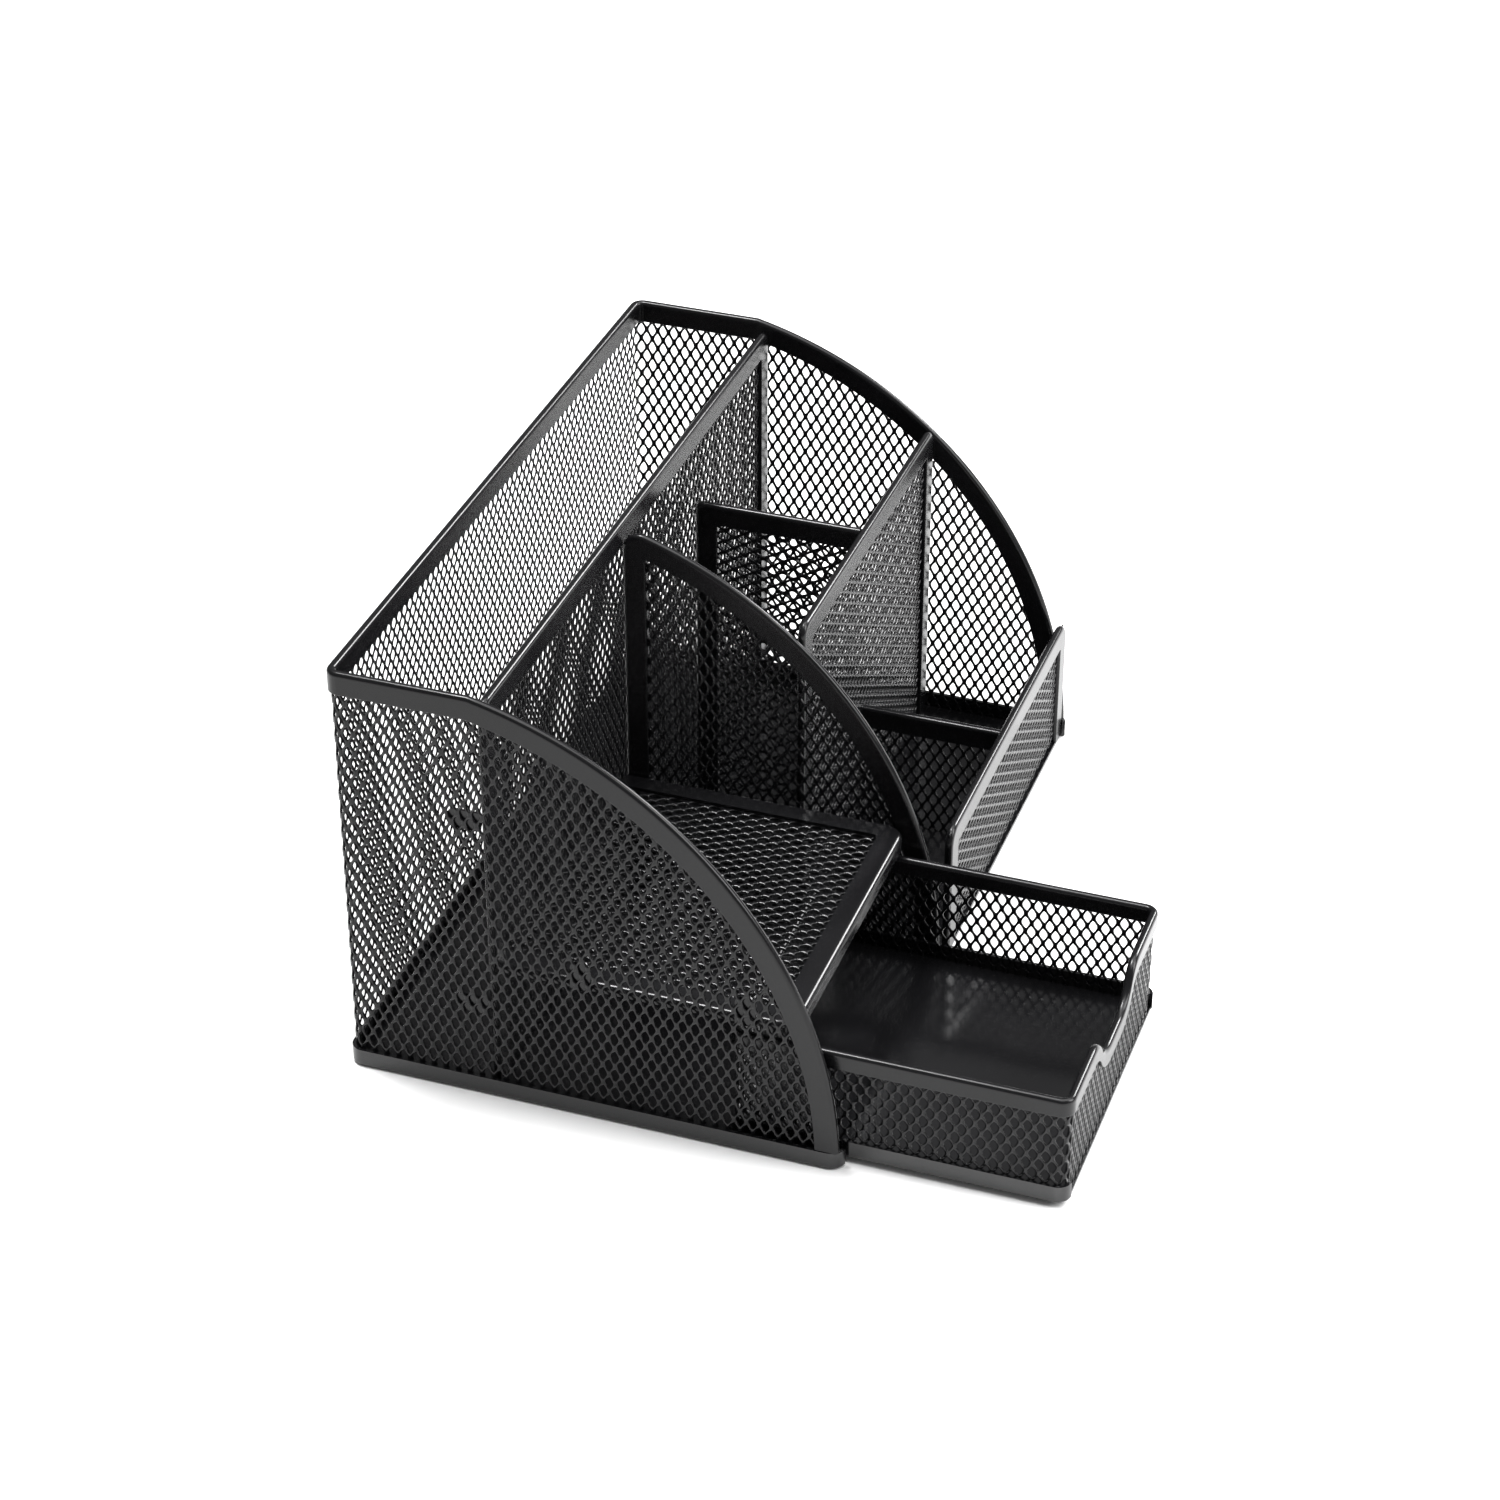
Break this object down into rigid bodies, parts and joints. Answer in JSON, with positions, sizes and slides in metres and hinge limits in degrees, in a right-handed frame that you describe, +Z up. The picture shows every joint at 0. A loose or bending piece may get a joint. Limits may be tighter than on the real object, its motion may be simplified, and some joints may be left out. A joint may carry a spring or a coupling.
{
  "type": "mesh desk organizer",
  "caption": "Mesh steel desk organizer with curved sides, a rear letter slot, pen cups, front trays and a shelf over a sliding drawer.",
  "frame": {"origin": "middle of the base tray's footprint, on the surface it stands on", "axes": "+Z up, +X to the right seen from the front, -Y to the front, the way the drawer opens"},
  "size_m": [0.222, 0.198, 0.124],
  "materials": {
    "mesh_black": "satin black powder coat on expanded steel mesh",
    "rim_black": "satin gloss black powder coat on folded steel strip",
    "tray_black": "gloss black powder coat on pressed steel sheet"
  },
  "bodies": {
    "frame": {"base_tray": "tray_black", "left_side_mesh": "mesh_black", "right_side_mesh": "mesh_black", "back_mesh": "mesh_black", "rear_divider_mesh": "mesh_black", "middle_panel_mesh": "mesh_black", "shelf_mesh": "mesh_black", "cup_divider_mesh": "mesh_black", "cross_wall_mesh": "mesh_black", "front_divider_mesh": "mesh_black", "front_wall_mesh": "mesh_black", "left_side_rim": "rim_black", "right_side_rim": "rim_black", "back_rim": "rim_black", "rear_divider_rim": "rim_black", "middle_panel_rim": "rim_black", "shelf_rim": "rim_black", "cup_divider_rim": "rim_black", "cross_wall_rim": "rim_black", "front_divider_rim": "rim_black", "front_wall_rim": "rim_black", "weld_tabs": "rim_black"},
    "drawer": {"drawer_tray": "tray_black", "drawer_wall_mesh": "mesh_black", "drawer_rim": "rim_black"}
  },
  "joints": [
    {"name": "drawer_slide", "type": "slide", "parent": "frame", "child": "drawer", "axis": [0, -1, 0], "range_m": [-0.06, 0.018]}
  ]
}
